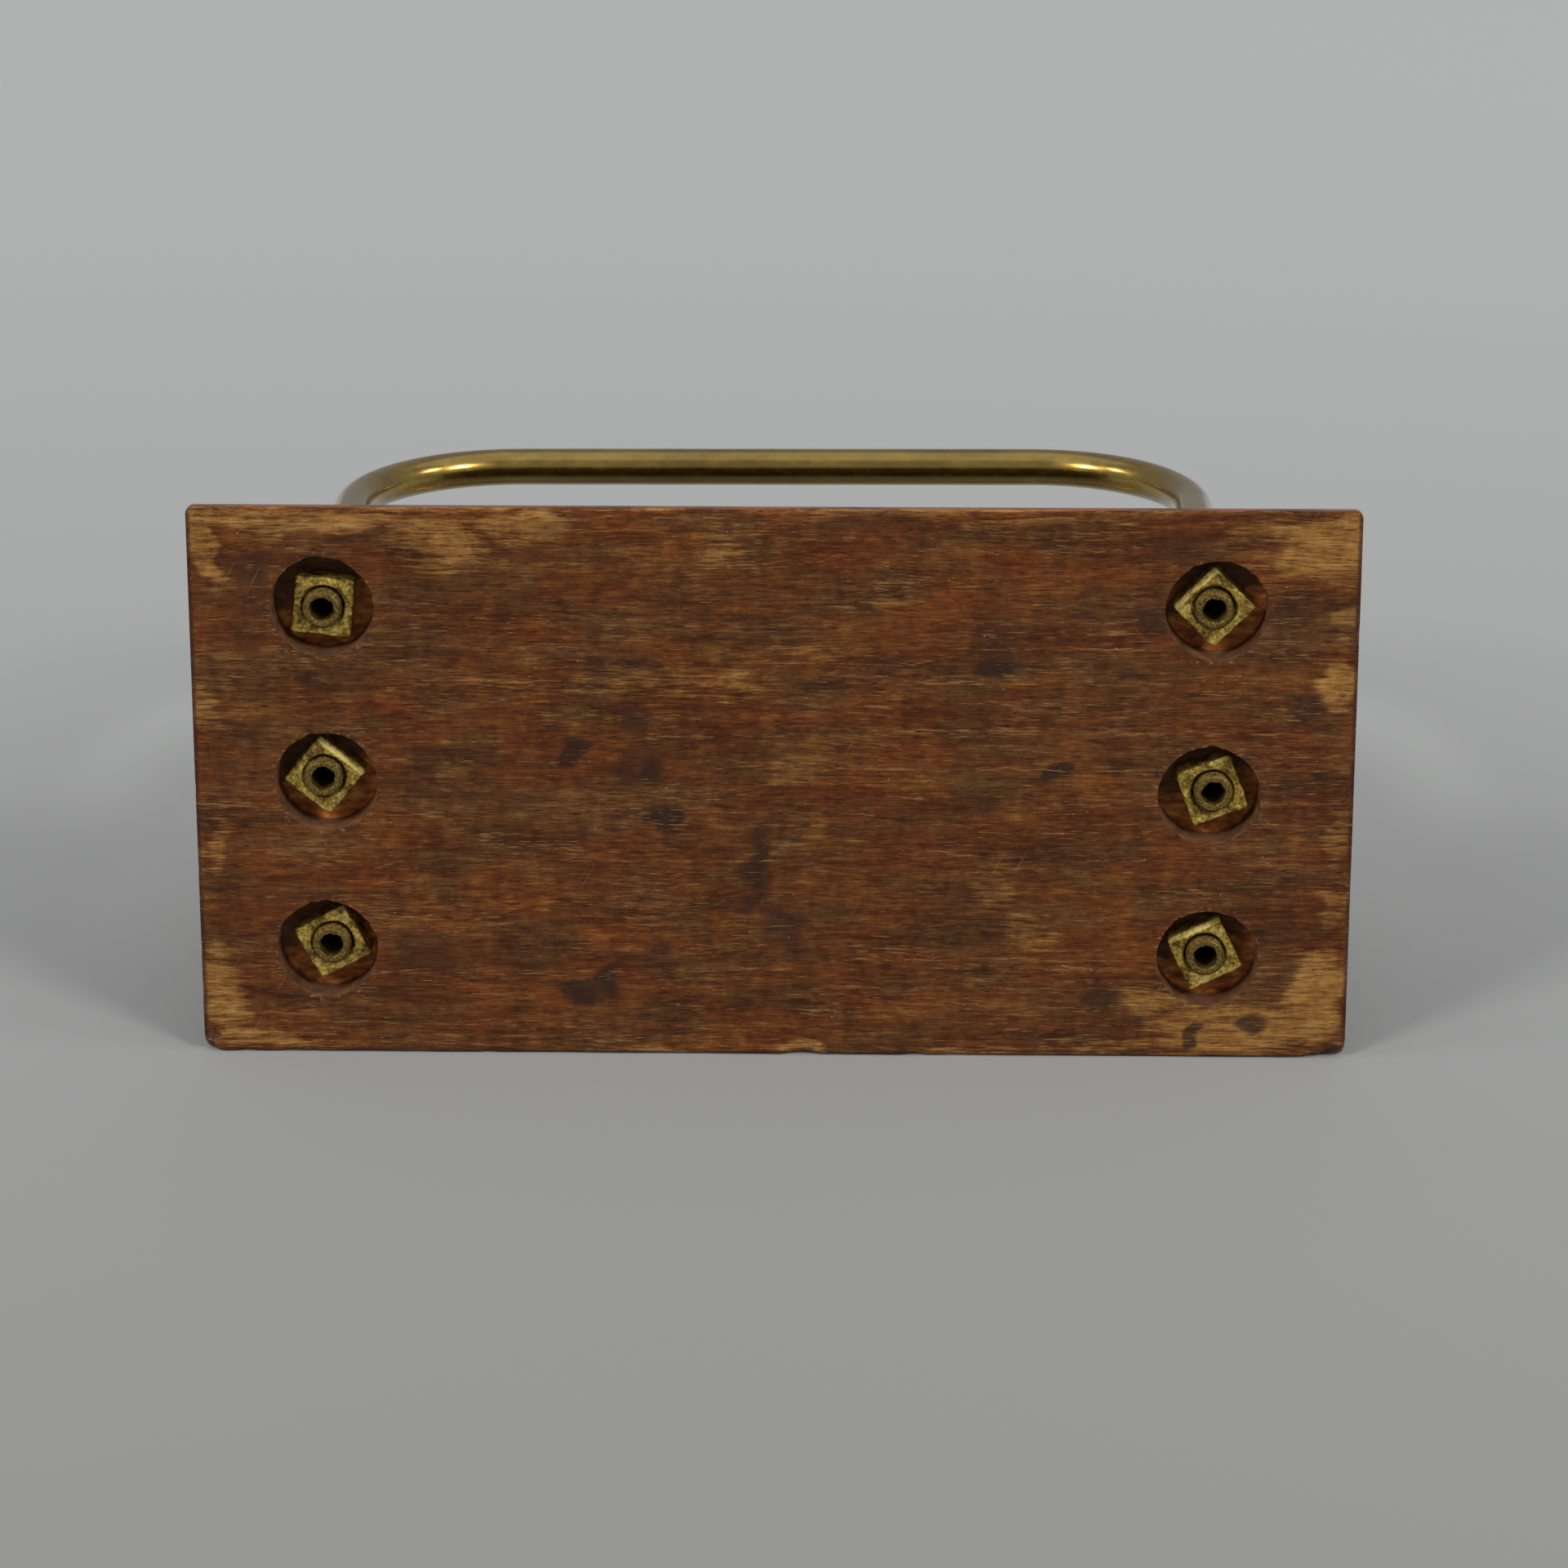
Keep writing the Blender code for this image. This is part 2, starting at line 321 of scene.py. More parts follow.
def place(obj, material, node, sharp=40):
    """Finishes a piece: rack coordinates, material, shading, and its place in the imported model's frame."""
    mesh = obj.data
    if "rack" not in mesh.attributes:
        add_vector(mesh, "rack", mesh_points(mesh))
    if material:
        mesh.materials.append(material)
    mesh.shade_smooth()
    mesh.set_sharp_from_angle(angle=math.radians(sharp))
    mesh.transform(TO_WORLD)
    mesh.update()
    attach(obj, "root")
    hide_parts(node)
    return obj


def smooth_step(value, low, high):
    share = np.clip((value - low) / (high - low), 0, 1)
    return share * share * (3 - 2 * share)


# ---------------------------------------------------------------- base


def grid_lines(length):
    """Places from -1 to 1 for lines across a length, closer together near its ends."""
    half = length / 2
    fine = np.arange(0, EDGE_ZONE, FINE_STEP)
    count = math.ceil(2 * (half - EDGE_ZONE) / COARSE_STEP)
    middle = np.linspace(-half + EDGE_ZONE, half - EDGE_ZONE, count + 1)
    lines = np.concatenate([-half + fine, middle, (half - fine)[::-1]])
    return lines / half


def round_corners(points, half_x, half_y):
    """Draws the corners of a rectangle of points in to quarter circles."""
    u = (np.abs(points[:, 0]) - half_x + CORNER_RADIUS) / CORNER_RADIUS
    v = (np.abs(points[:, 1]) - half_y + CORNER_RADIUS) / CORNER_RADIUS
    corner = (u > 0) & (v > 0)
    round_u = u * np.sqrt(np.clip(1 - v * v / 2, 0, 1))
    round_v = v * np.sqrt(np.clip(1 - u * u / 2, 0, 1))
    x = np.sign(points[:, 0]) * (half_x - CORNER_RADIUS + round_u * CORNER_RADIUS)
    y = np.sign(points[:, 1]) * (half_y - CORNER_RADIUS + round_v * CORNER_RADIUS)
    points[corner, 0] = x[corner]
    points[corner, 1] = y[corner]
    return points


def sheet_at(across, height, inset):
    """Points of the unit rectangle in across, drawn in by an inset and set at a height."""
    half_x = LENGTH / 2 - inset
    half_y = DEPTH / 2 - inset
    points = np.column_stack([across[:, 0] * half_x, across[:, 1] * half_y, np.full(len(across), height)])
    return round_corners(points, half_x, half_y)


def moulding():
    """(height, inset) from the underside's arris, over the square fillet and its ledge, up the ovolo."""
    quarter = np.linspace(0, math.pi / 2, 5)
    points = [(ARRIS * (1 - math.cos(t)), ARRIS * (1 - math.sin(t))) for t in quarter]
    points += [(height, 0.0) for height in np.linspace(ARRIS, FILLET - LEDGE_LIP, 5)[1:]]
    for t in quarter[1:]:
        points.append((FILLET - LEDGE_LIP * (1 - math.sin(t)), LEDGE_LIP * (1 - math.cos(t))))
    points += [(FILLET, 1.0), (FILLET, 1.6), (FILLET + 0.05, LEDGE - 0.05)]
    for t in np.linspace(0, math.pi / 2, OVOLO_STEPS + 1)[1:]:
        height = FILLET + (THICKNESS - FILLET) * math.sin(t)
        points.append((height, LEDGE + OVOLO_WIDTH * (1 - math.cos(t))))
    return points


def board_surface():
    """The board's vertices and faces: a grid below, a grid on top and the moulding between them."""
    xs = grid_lines(LENGTH)
    ys = grid_lines(DEPTH)
    nx = len(xs)
    ny = len(ys)
    across = np.array([(x, y) for y in ys for x in xs])
    index = np.arange(nx * ny).reshape(ny, nx)
    border = np.concatenate([index[0, :-1], index[:-1, -1], index[-1, :0:-1], index[:0:-1, 0]])
    quads = np.stack([index[:-1, :-1], index[:-1, 1:], index[1:, 1:], index[1:, :-1]], -1).reshape(-1, 4)
    profile = moulding()
    verts = [sheet_at(across, *profile[0])]
    for height, inset in profile[1:-1]:
        verts.append(sheet_at(across[border], height, inset))
    verts.append(sheet_at(across, *profile[-1]))
    rings = len(profile) - 2
    side = len(border)
    start = nx * ny
    top = start + rings * side
    rows = [border] + [start + ring * side + np.arange(side) for ring in range(rings)] + [top + border]
    faces = [quads[:, ::-1], quads + top]
    for low, high in zip(rows, rows[1:]):
        faces.append(np.stack([low, np.roll(low, -1), np.roll(high, -1), high], 1))
    return np.concatenate(verts), np.concatenate(faces)


def scoop(points, centre, radii):
    """Pushes the points inside an ellipsoid out to its surface, which leaves a hollow."""
    away = (points - centre) / radii
    far = np.linalg.norm(away, axis=1)
    inside = (far < 1) & (far > 1e-6)
    points[inside] = np.asarray(centre) + away[inside] / far[inside, None] * radii
    return points


def wear_corner(points, corner_x, corner_y, reach_x, reach_y, reach_z):
    """Planes a corner of the underside off, unevenly."""
    slope = np.array([1 / reach_x, 1 / reach_y, 1 / reach_z])
    gaps = np.column_stack(
        [LENGTH / 2 - corner_x * points[:, 0], DEPTH / 2 - corner_y * points[:, 1], points[:, 2]]
    )
    limit = 1 + 0.3 * ripple(points, (1.6, 1.6, 0.8), 3)
    short = np.clip(limit - gaps @ slope, 0, None)
    moved = gaps + short[:, None] * slope / (slope @ slope)
    points[:, 0] = corner_x * (LENGTH / 2 - moved[:, 0])
    points[:, 1] = corner_y * (DEPTH / 2 - moved[:, 1])
    points[:, 2] = moved[:, 2]
    return points


def wear_board(points):
    """Uneven faces, edges rubbed down by years of use, bruises, and worn corners."""
    side_gap = LENGTH / 2 - np.abs(points[:, 0])
    end_gap = DEPTH / 2 - np.abs(points[:, 1])
    gap = np.minimum(side_gap, end_gap)
    under = smooth_step(-points[:, 2], -0.6, 0)
    rub = np.clip(0.35 + ripple(points, (14, 9, 9), 1), 0, 1)
    points[:, 2] += under * 0.35 * rub * np.exp(-np.clip(gap, 0, None) / 0.7)
    points[:, 2] += under * (0.05 * ripple(points, (30, 8, 8), 2) + 0.025 * ripple(points, (9, 1.8, 3), 4))
    top = smooth_step(points[:, 2], THICKNESS - 1, THICKNESS)
    points[:, 2] -= top * 0.06 * np.abs(ripple(points, (22, 9, 9), 5))
    rng = np.random.default_rng(SEED)
    for _ in range(EDGE_DENTS):
        along = rng.uniform(-0.98, 0.98)
        on_long_edge = rng.random() < LONG_EDGE_SHARE
        side = rng.choice((-1, 1))
        size = rng.uniform(0.5, 1.5)
        depth = rng.uniform(0.12, 0.34)
        out = size * (1 - depth)
        if on_long_edge:
            centre = (along * LENGTH / 2, side * (DEPTH / 2 - 0.1 + out * 0.7), 0.1 - out * 0.7)
        else:
            centre = (side * (LENGTH / 2 - 0.1 + out * 0.7), along * DEPTH / 2, 0.1 - out * 0.7)
        stretch = rng.uniform(1, 2.2)
        radii = (size * stretch, size, size) if on_long_edge else (size, size * stretch, size)
        points = scoop(points, np.array(centre), np.array(radii))
    for centre, radii in EDGE_CHIPS:
        points = scoop(points, np.array(centre), np.array(radii))
    for corner in CORNER_WEAR:
        points = wear_corner(points, *corner)
    return points


def counterbore_cutter(row, side):
    """A hand-drilled hole and its counterbore as one closed skin, which passes right through the board."""
    _, drift, _ = LEGS[row, side]
    axis = leg_axis(row, side)
    seed = 20 + ROWS.index(row) + 3 * (side == "right")
    stations = [(THICKNESS + 2, 0.0, 0.0)]
    for height in np.linspace(THICKNESS + 2, COUNTERBORE_DEPTH + 0.3, 8):
        stations.append((height, HOLE_RADIUS, 0.0))
    for share in np.linspace(0, 1, 12):
        radius = HOLE_RADIUS + 0.15 + share * (COUNTERBORE_RADIUS - HOLE_RADIUS - 0.15)
        scored = 0.25 * math.exp(-(((share - 0.95) / 0.05) ** 2))
        ringed = 0.05 * math.sin(share * 26)
        stations.append((COUNTERBORE_DEPTH + scored + ringed, radius, share))
    for height in (6.6, 6, 5.2, 4.4, 3.6, 2.8, 2, 1.4, 1, 0.7, 0.45, 0.25, 0.1, -0.1, -0.5, -2):
        stations.append((height, COUNTERBORE_RADIUS, 1.0))
    stations.append((-2, 0.0, 1.0))
    turn = np.linspace(0, 2 * math.pi, CUTTER_SIDES, endpoint=False)
    circle = np.column_stack([np.cos(turn), np.sin(turn), np.zeros(CUTTER_SIDES)])
    chips = np.clip(ripple(circle * COUNTERBORE_RADIUS, (1.5, 1.5, 1.5), seed + 10) - 0.05, 0, 1)
    rings = []
    for height, radius, share in stations:
        at = circle * radius + (0, 0, height)
        wander = 0.16 * ripple(at, (7, 7, 5), seed) + 0.07 * ripple(at, (1.2, 1.2, 2.2), seed + 1)
        on_wall = 1.0 if share == 1.0 and radius else 0.25 * (radius > 0)
        near_rim = np.clip(1 - max(height, 0) / 0.9, 0, 1) ** 1.6
        reach = radius + on_wall * wander + near_rim * on_wall * (0.08 + 0.6 * chips)
        ring = circle * reach[:, None]
        ring[:, 0] += axis[0] + share * drift[0]
        ring[:, 1] += axis[1] + share * drift[1]
        ring[:, 2] += height
        if radius > HOLE_RADIUS and share < 1:
            ring[:, 2] += 0.1 * ripple(ring, (1.5, 0.8, 1), seed + 2)
        rings.append(ring)
    return np.array(rings)


def join_meshes(name, parts):
    bm = bmesh.new()
    for part in parts:
        bm.from_mesh(part)
    joined = bpy.data.meshes.new(name)
    bm.to_mesh(joined)
    bm.free()
    return joined


def patch_mask(points, patches):
    """How strongly each point lies in the given patches, with soft uneven borders."""
    x = points[:, 0] + 3 * ripple(points, (6, 3, 3), 31)
    y = points[:, 1] + 1.8 * ripple(points, (8, 2.5, 3), 32)
    found = np.zeros(len(points))
    for centre_x, centre_y, half_x, half_y, strength in patches:
        far = np.hypot((x - centre_x) / half_x, (y - centre_y) / half_y)
        found = np.maximum(found, strength * (1 - smooth_step(far, 0.45, 1.35)))
    return found


def nearest_bore(points):
    """Each point's distance from the nearest counterbore's wall, negative inside, and its place in it."""
    nearest = np.full(len(points), 1e3)
    place_in = np.zeros((len(points), 2))
    for (row, side), (_, drift, _) in LEGS.items():
        offset = points[:, :2] - (leg_axis(row, side) + drift)
        far = np.hypot(offset[:, 0], offset[:, 1]) - COUNTERBORE_RADIUS
        closer = far < nearest
        nearest[closer] = far[closer]
        place_in[closer] = offset[closer]
    return nearest, place_in


def mark_board(mesh):
    """Where the wood is stained, rubbed pale, polished or freshly cut, and the painted light and shade
    inside the counterbores, for its material to read.
    """
    points = mesh_points(mesh)
    gap = np.minimum(LENGTH / 2 - np.abs(points[:, 0]), DEPTH / 2 - np.abs(points[:, 1]))
    edge = np.exp(-np.clip(gap, 0, None) / 1.1) * np.clip(0.55 + 1.2 * ripple(points, (9, 6, 6), 33), 0, 1)
    pale = np.maximum(patch_mask(points, PALE_PATCHES), edge)
    handled = np.exp(-np.abs(points[:, 1] + DEPTH / 2) / 1.1) * (0.8 + 0.6 * ripple(points, (12, 6, 6), 34))
    warm = np.maximum(patch_mask(points, WARM_PATCHES), handled)
    stain_and_bore_light = np.column_stack([pale, warm, patch_mask(points, DARK_PATCHES)])
    wall, place_in = nearest_bore(points)
    within = points[:, 2] < COUNTERBORE_DEPTH + 1.5
    inside = (wall < 0.9) & within & (points[:, 2] > 0.35)
    # Painted light and shade inside the counterbores: lighter on their floors and on their side towards the
    # edge the rack stands on and towards +X; darker on their walls and on the opposite side.
    painted_bore_light = smooth_step(place_in @ (0.35, 1.0), -3.0, 3.0) * np.where(points[:, 2] > 6, 1.2, 0.2)
    # Inside the counterbores the painted light takes the place of the pale share.
    stain_and_bore_light[inside, 0] = painted_bore_light[inside]
    rim = np.exp(-((wall - 0.25) ** 2) / 0.3) * smooth_step(-points[:, 2], -1.2, 0)
    polished = smooth_step(points[:, 2], 0.15, 0.55) * (~inside)
    cut = np.column_stack([inside.astype(float), polished, rim])
    add_vector(mesh, "rack", points)
    add_vector(mesh, "stain_and_bore_light", stain_and_bore_light)
    add_vector(mesh, "cut", cut)


def make_base(bare, polished):
    verts, faces = board_surface()
    board = new_object("worn_base", new_mesh("worn_base", wear_board(verts), faces))
    parts = [ring_mesh("bore", counterbore_cutter(row, side), closed=False) for row, side in LEGS]
    cutter = new_object("bores", join_meshes("bores", parts))
    cut = board.modifiers.new("bores", "BOOLEAN")
    cut.object = cutter
    cut.solver = "EXACT"
    seen = board.evaluated_get(bpy.context.evaluated_depsgraph_get())
    drilled = bpy.data.meshes.new_from_object(seen)
    board.modifiers.clear()
    board.data = drilled
    bpy.data.objects.remove(cutter)
    mark_board(drilled)
    drilled.materials.clear()
    drilled.materials.append(bare)
    drilled.materials.append(polished)
    cut_skin = np.empty(len(drilled.vertices) * 3, np.float32)
    drilled.attributes["cut"].data.foreach_get("vector", cut_skin)
    cut_skin = cut_skin.reshape(-1, 3)[:, 1]
    for face in drilled.polygons:
        face.material_index = int(min(cut_skin[list(face.vertices)]) > 0.5)
    return place(board, None, "base", sharp=38)


# ---------------------------------------------------------------- hoops


def hoop_point(distance, spacing, foot, height):
    """A point and direction on a hoop's middle line, in its own plane, at a distance from its left foot."""
    leg = height - BEND_RADIUS - foot
    bend = BEND_RADIUS * math.pi / 2
    bar = spacing - 2 * BEND_RADIUS
    half = spacing / 2
    if distance <= leg:
        return (-half, foot + distance), (0.0, 1.0)
    distance -= leg
    if distance <= bend:
        turn = distance / BEND_RADIUS
        at = (-half + BEND_RADIUS * (1 - math.cos(turn)), height - BEND_RADIUS * (1 - math.sin(turn)))
        return at, (math.sin(turn), math.cos(turn))
    distance -= bend
    if distance <= bar:
        return (-half + BEND_RADIUS + distance, height), (1.0, 0.0)
    distance -= bar
    if distance <= bend:
        turn = distance / BEND_RADIUS
        at = (half - BEND_RADIUS * (1 - math.sin(turn)), height - BEND_RADIUS * (1 - math.cos(turn)))
        return at, (math.cos(turn), -math.sin(turn))
    distance -= bend
    return (half, height - BEND_RADIUS - distance), (0.0, -1.0)


def tube_stations(length):
    """(distance, radius, thread share) over the tube's outside, over its end, and back through its bore."""
    threads = np.arange(0.35, THREAD_LENGTH, 0.113)
    plain = np.linspace(THREAD_LENGTH + 0.4, length / 2, 110)
    fade = 1 - smooth_step(threads, THREAD_LENGTH - 1.6, THREAD_LENGTH)
    near = [(distance, TUBE_RADIUS, thread) for distance, thread in zip(threads, fade)]
    near += [(distance, TUBE_RADIUS, 0.0) for distance in plain]
    outside = [(0.0, TUBE_RADIUS - 0.45, 0.0), (0.12, TUBE_RADIUS - 0.25, 0.2)] + near
    outside += [(length - distance, radius, thread) for distance, radius, thread in outside[-2::-1]]
    end = [(-0.03, TUBE_RADIUS - 0.6, 0.0), (0.05, TUBE_RADIUS - 0.8, 0.0), (0.0, BORE_RADIUS + 0.2, 0.0)]
    bore = [(0.16, BORE_RADIUS, 0.0), (1.2, BORE_RADIUS, 0.0)]
    inner = end + bore
    inside = [(length - distance, radius, 0.0) for distance, radius, _ in inner]
    inside += [(distance, BORE_RADIUS, 0.0) for distance in np.linspace(length - 4, 4, 130)]
    inside += [(distance, radius, 0.0) for distance, radius, _ in inner[::-1]]
    return outside + inside


def make_hoop(row, brass):
    """A hoop of open tube with cut threads at both ends, dressed by hand at its feet."""
    node = f"{row}_hoop"
    low, high = rack_box(node)
    left = leg_axis(row, "left")
    right = leg_axis(row, "right")
    span = right - left
    spacing = float(np.hypot(*span))
    level = np.array([span[0] / spacing, span[1] / spacing, 0])
    upright = np.array([0.0, 0.0, 1.0])
    facing = np.cross(level, upright)
    centre = np.array([*((left + right) / 2), 0])
    foot = low[2] + 0.03
    height = high[2] - TUBE_RADIUS
    length = 2 * (height - BEND_RADIUS - foot) + math.pi * BEND_RADIUS + spacing - 2 * BEND_RADIUS
    turn = np.linspace(0, 2 * math.pi, TUBE_SIDES, endpoint=False)
    seed = 50 + ROWS.index(row)
    rings = []
    painted_shade_side = []
    for distance, radius, thread in tube_stations(length):
        inside = min(max(distance, 0), length)
        (u, w), (du, dw) = hoop_point(inside, spacing, foot, height)
        ahead = level * du + upright * dw
        side = level * dw - upright * du
        u -= BEND_BULGE.get(row, 0) * smooth_step(-u, 0, spacing / 2) * smooth_step(w, *BULGE_HEIGHTS)
        middle = centre + level * u + upright * w + ahead * (distance - inside)
        phase = (distance / THREAD_PITCH - turn / (2 * math.pi)) % 1
        reach = radius - thread * THREAD_DEPTH * np.abs(2 * phase - 1)
        ring = side * np.cos(turn)[:, None] + facing * np.sin(turn)[:, None]
        if radius <= BORE_RADIUS + 0.3 and (distance < 2 or distance > length - 2):
            reach = reach + 0.26 * ripple(ring * 2 + middle, (0.9, 0.9, 0.9), seed)
        bent = min(distance, length - distance) > height - BEND_RADIUS - foot
        if bent and radius > BORE_RADIUS:
            reach = reach + 0.02 * ripple(ring * 2 + middle, (12, 12, 12), seed + 3)
        rings.append(middle + ring * reach[:, None])
        # Painted shade: the side of the tube facing the edge the rack stands on is marked for a darker
        # colour, a painted reflection of the dark board.
        painted_shade_side.append(smooth_step(ring[:, 1], 0.05, 0.85))
    mesh = ring_mesh(f"{row}_tube", np.array(rings), closed=True)
    add_share(mesh, "painted_shade_side", np.concatenate(painted_shade_side))
    return place(new_object(f"{row}_tube", mesh), brass, node, sharp=50)


# ---------------------------------------------------------------- nuts


def square_reach(turn, half, corner):
    """Distance from the middle of a rounded square to its outline, for each turn in radians."""
    x = np.abs(np.cos(turn))
    y = np.abs(np.sin(turn))
    flat = half / np.maximum(x, y)
    core = half - corner
    middle = core * (x + y)
    round_part = middle + np.sqrt(np.clip(middle**2 - 2 * core**2 + corner**2, 0, None))
    on_corner = (flat * x > core) & (flat * y > core)
    return np.where(on_corner, round_part, flat)


def nut_stations(low, high):
    """(height, share, shrink) round a nut's section: share 0 is its bore, 1 its outline less shrink."""
    edge = NUT_ARRIS
    quarter = np.linspace(0, math.pi / 2, 5)
    stations = [(low + 0.45, 0.0, 0.0), (low + 0.12, 0.07, 0.0)]
    stations += [(low, share, edge) for share in np.linspace(0.14, 1, 16)]
    stations += [(low + edge * (1 - math.cos(t)), 1.0, edge * (1 - math.sin(t))) for t in quarter[1:]]
    stations += [(height, 1.0, 0.0) for height in np.linspace(low + edge, high - edge, 9)[1:-1]]
    stations += [(high - edge * (1 - math.sin(t)), 1.0, edge * (1 - math.cos(t))) for t in quarter]
    stations += [(high, share, edge) for share in (0.7, 0.4, 0.1)]
    threads = np.linspace(high - 0.3, low + 0.45, 40)[:-1]
    stations += [(height, 0.0, 0.0) for height in threads]
    return stations


def make_nut(row, side, brass):
    """A worn square nut: softened and bruised edges, a pitted face and a cut thread."""
    node = f"{row}_{side}_nut"
    low, high = rack_box(node)
    axis = leg_axis(row, side)
    turned, _, sway = LEGS[row, side]
    seed = 60 + 2 * ROWS.index(row) + (side == "right")
    turn = np.linspace(0, 2 * math.pi, NUT_SIDES, endpoint=False)
    bore = TUBE_RADIUS + THREAD_GAP
    rings = []
    for height, share, shrink in nut_stations(low[2], high[2]):
        outer = square_reach(turn, NUT_WIDTH / 2 - shrink, NUT_CORNER)
        inner = np.full(NUT_SIDES, bore)
        if share == 0:
            phase = (height / THREAD_PITCH - turn / (2 * math.pi)) % 1
            inner = inner - 0.18 * np.abs(2 * phase - 1)
        reach = inner + share * (outer - inner)
        ring = np.column_stack([reach * np.cos(turn), reach * np.sin(turn), np.full(NUT_SIDES, height)])
        rings.append(ring)
    rings = np.array(rings)
    count = rings.shape[0]
    points = rings.reshape(-1, 3)
    far = np.hypot(points[:, 0], points[:, 1])
    skin = smooth_step(far, bore + 0.1, bore + 0.6)
    grain = 0.05 * ripple(points, (0.5, 0.5, 0.5), seed) + 0.09 * ripple(points, (1.7, 1.7, 1.7), seed + 9)
    points[:, 2] += skin * grain * np.where(points[:, 2] < (low[2] + high[2]) / 2, 1, -1)
    points[:, :2] *= (1 - skin * 0.012 * (1 + 3 * ripple(points, (1.3, 1.3, 1.3), seed + 18)))[:, None]
    rng = np.random.default_rng(SEED + seed)
    for _ in range(NUT_BRUISES):
        bearing = rng.uniform(0, 2 * math.pi)
        size = rng.uniform(0.25, 0.6)
        out = square_reach(np.array([bearing]), NUT_WIDTH / 2, 0.6)[0] + size * 0.35
        centre = np.array([out * math.cos(bearing), out * math.sin(bearing), low[2] - size * 0.3])
        points = scoop(points, centre, np.full(3, size))
    if (row, side) == ("middle", "right"):
        centre = np.array([0.3, -NUT_WIDTH / 2 - 0.35, low[2] - 0.2])
        points = scoop(points, centre, np.array([0.8, 1.3, 1.6]))
    if (row, side) in FILED_EDGES:
        bearing = math.radians(FILED_EDGES[row, side])
        beyond = points[:, :2] @ (math.cos(bearing), math.sin(bearing)) - NUT_WIDTH / 2 + FILED_WIDTH
        floor = low[2] + FILED_SLOPE * np.clip(beyond, 0, None)
        points[:, 2] = np.maximum(points[:, 2], floor + 0.4 * (points[:, 2] - low[2]) * (beyond > 0))
    spin = np.array(Matrix.Rotation(math.radians(turned), 3, "Z"))
    points = points @ spin.T
    points[:, 0] += axis[0] + sway[0]
    points[:, 1] += axis[1] + sway[1]
    name = f"{row}_{side}_square_nut"
    mesh = ring_mesh(name, points.reshape(count, NUT_SIDES, 3), closed=True)
    # The filed edges are marked for a painted highlight in the nut's material.
    filed_highlight = np.zeros(len(mesh.vertices))
    if (row, side) in FILED_EDGES:
        bearing = math.radians(FILED_EDGES[row, side] + turned)
        offset = mesh_points(mesh) - (axis[0] + sway[0], axis[1] + sway[1], low[2])
        beyond = offset[:, :2] @ (math.cos(bearing), math.sin(bearing)) - NUT_WIDTH / 2 + FILED_WIDTH
        filed_highlight = smooth_step(beyond, 0, 0.2) * smooth_step(-offset[:, 2], -1.8, -1.0)
    add_share(mesh, "filed_highlight", filed_highlight)
    return place(new_object(name, mesh), brass, node, sharp=45)


# ---------------------------------------------------------------- collars


def collar_profile(low, high):
    """(radius, height) round a collar's section: seat, flange, quirk, cove, bead, mouth and bore."""
    bore = TUBE_RADIUS + THREAD_GAP
    flange = 5.3
    neck = 4.3
    points = [(bore, low), (flange - 0.25, low), (flange - 0.08, low + 0.07), (flange, low + 0.25)]
    points += [(flange, low + 1.0), (flange - 0.08, low + 1.2), (flange - 0.25, low + 1.32)]
    points += [(flange - 0.45, low + 1.34), (flange - 0.5, low + 1.5)]
    for step in range(1, 9):
        t = math.pi / 2 * step / 8
        radius = neck + (flange - 0.5 - neck) * (1 - math.sin(t))
        points.append((radius, low + 1.5 + 1.5 * (1 - math.cos(t))))
    bead = high - low - 3.2
    for step in range(1, 12):
        t = math.pi * step / 12
        points.append((neck + 0.32 * math.sin(t), low + 3.2 + bead * (1 - math.cos(t)) / 2))
    points += [(neck - 0.1, high), (bore + 0.2, high), (bore, high - 0.2)]
    points += [(bore, height) for height in np.linspace(high - 0.8, low + 0.5, 6)]
    return points


def make_collar(row, side, brass):
    node = f"{row}_{side}_collar"
    low, high = rack_box(node)
    axis = leg_axis(row, side)
    turn = np.linspace(0, 2 * math.pi, COLLAR_SIDES, endpoint=False)
    circle = np.column_stack([np.cos(turn), np.sin(turn), np.zeros(COLLAR_SIDES)])
    rings = []
    for radius, height in collar_profile(low[2], high[2]):
        ring = circle * radius + (axis[0], axis[1], height)
        rings.append(ring)
    name = f"{row}_{side}_turned_collar"
    mesh = ring_mesh(name, np.array(rings), closed=True)
    return place(new_object(name, mesh), brass, node, sharp=35)


# ---------------------------------------------------------------- materials


